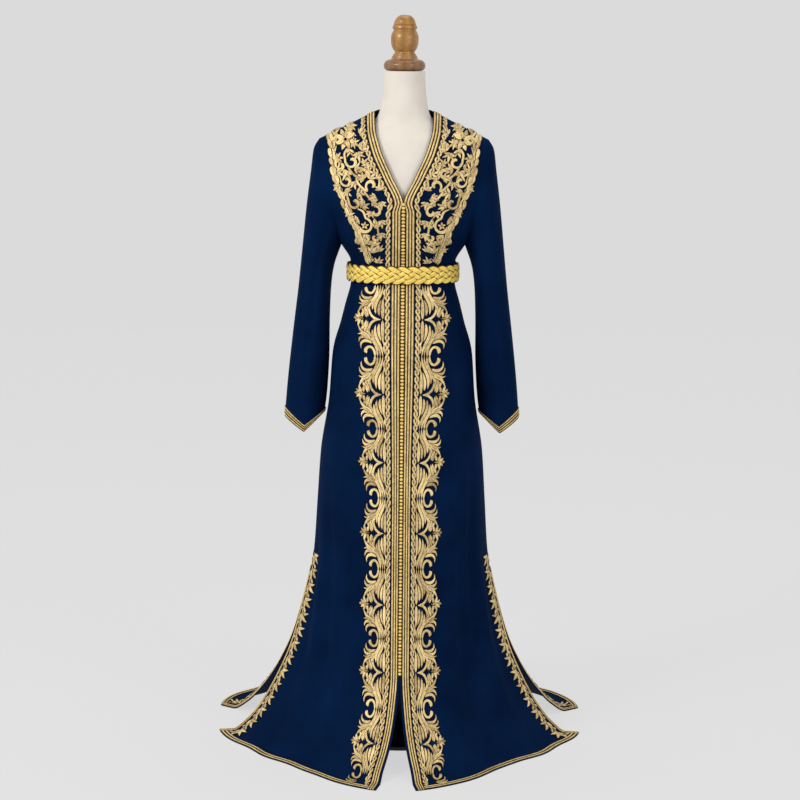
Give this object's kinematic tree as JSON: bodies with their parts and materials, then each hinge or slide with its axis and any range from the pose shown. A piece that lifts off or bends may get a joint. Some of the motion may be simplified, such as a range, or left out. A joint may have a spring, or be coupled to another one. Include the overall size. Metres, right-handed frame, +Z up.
{
  "type": "moroccan kaftan on a limbless dress form",
  "caption": "Floor-length navy kaftan with long sleeves, V neck, gold braid and embroidery and a braided belt, worn by a limbless dress form on a pole and round base.",
  "frame": {"origin": "centre of the underside of the stand's round base, on the floor", "axes": "+Z up along the pole, the front of the kaftan faces -Y, +X to the right of somebody who looks at the front"},
  "size_m": [0.88, 0.9011, 1.678],
  "materials": {
    "navy_crepe": "soft satin sheen",
    "gold_braid": "metallic thread",
    "gold_knots": "metallic thread",
    "gold_belt": "metallic cord",
    "cream_linen": "matt",
    "turned_wood": "satin varnish",
    "dark_steel": "satin"
  },
  "bodies": {
    "root": {"front_panel_left": "navy_crepe", "front_panel_right": "navy_crepe", "back_panel": "navy_crepe", "sleeve_left": "navy_crepe", "sleeve_right": "navy_crepe", "front_band_left": "gold_braid", "front_band_right": "gold_braid", "rope_braid_left": "gold_braid", "rope_braid_right": "gold_braid", "neck_band_back": "gold_braid", "cuff_trim_left": "gold_braid", "cuff_trim_right": "gold_braid", "slit_trim_front_left": "gold_braid", "slit_trim_front_right": "gold_braid", "slit_trim_back_left": "gold_braid", "slit_trim_back_right": "gold_braid", "hem_trim_front_left": "gold_braid", "hem_trim_front_right": "gold_braid", "hem_trim_back": "gold_braid", "button_strip": "gold_knots", "belt": "gold_belt", "form_torso": "cream_linen", "neck_disc": "turned_wood", "finial": "turned_wood", "pole": "dark_steel", "base": "dark_steel"}
  },
  "joints": []
}
